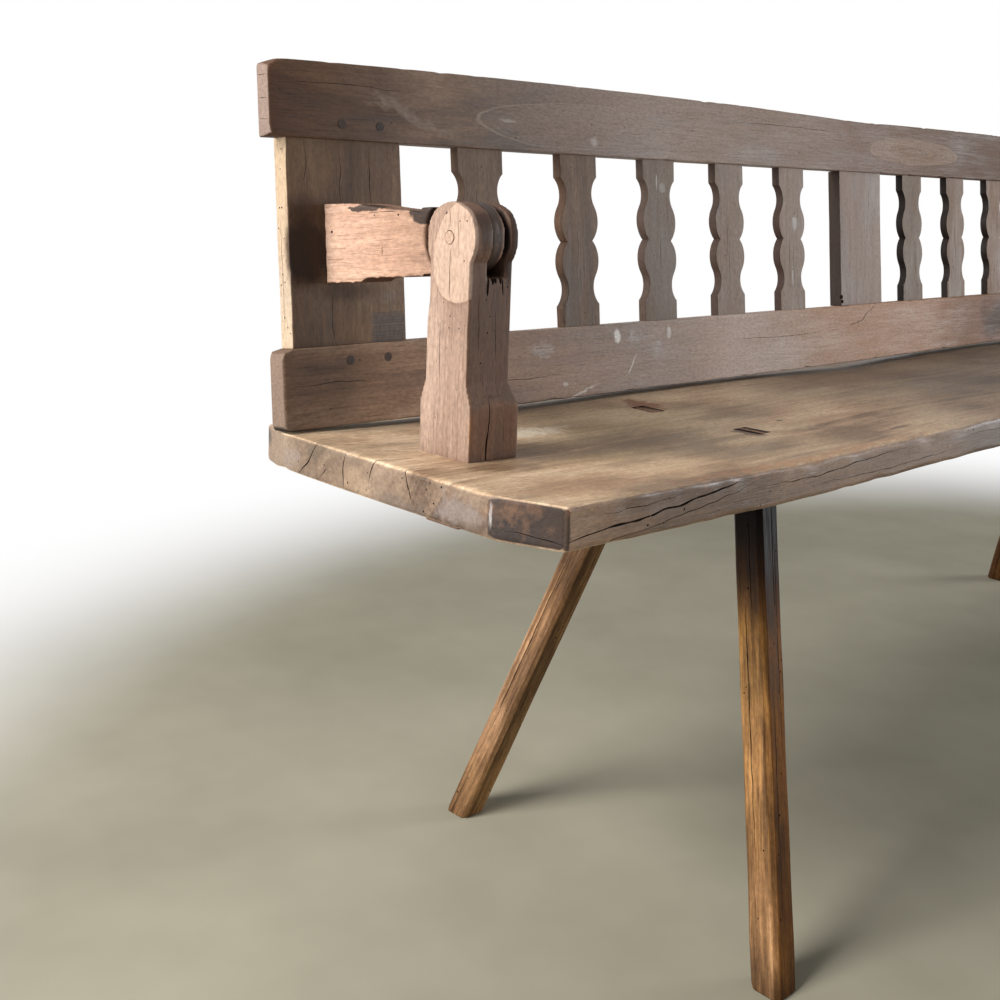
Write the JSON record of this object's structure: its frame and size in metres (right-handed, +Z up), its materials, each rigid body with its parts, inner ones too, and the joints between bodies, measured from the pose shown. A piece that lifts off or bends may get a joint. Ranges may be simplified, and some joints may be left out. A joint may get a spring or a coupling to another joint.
{
  "type": "monks bench",
  "caption": "Long plank-seat wooden bench with splayed legs and a slatted back hung on two arms that swings over the seat to face either way.",
  "frame": {"origin": "on the floor under the middle of the seat", "axes": "+X along the bench to the right seen from the front, -Y towards the front, +Z up"},
  "size_m": [1.883, 0.427, 0.7814],
  "materials": {
    "board_wood": "aged",
    "leg_wood": "aged",
    "peg_wood": "aged"
  },
  "bodies": {
    "bench": {"seat_plank": "board_wood", "leg_front_left": "leg_wood", "leg_rear_left": "leg_wood", "leg_front_right": "leg_wood", "leg_rear_right": "leg_wood", "leg_wedge_front_left": "peg_wood", "leg_wedge_rear_left": "peg_wood", "leg_wedge_front_right": "peg_wood", "leg_wedge_rear_right": "peg_wood", "left_post": "board_wood", "left_post_wedge": "peg_wood", "left_pivot_pin": "peg_wood", "right_post": "board_wood", "right_post_wedge": "peg_wood", "right_pivot_pin": "peg_wood"},
    "back": {"top_rail": "board_wood", "lower_rail": "board_wood", "left_end_stile": "board_wood", "centre_stile": "board_wood", "right_end_stile": "board_wood", "top_rail_pegs": "peg_wood", "lower_rail_pegs": "peg_wood", "splat_1": "board_wood", "splat_2": "board_wood", "splat_3": "board_wood", "splat_4": "board_wood", "splat_5": "board_wood", "splat_6": "board_wood", "splat_7": "board_wood", "splat_8": "board_wood", "splat_9": "board_wood", "splat_10": "board_wood", "left_arm": "board_wood", "left_arm_wedge": "peg_wood", "right_arm": "board_wood", "right_arm_wedge": "peg_wood"}
  },
  "joints": [
    {"name": "back_swing", "type": "hinge", "parent": "bench", "child": "back", "pos_m": [0, 0, 0.63312], "axis": [1, 0, 0], "range_deg": [0, 191.8]}
  ]
}
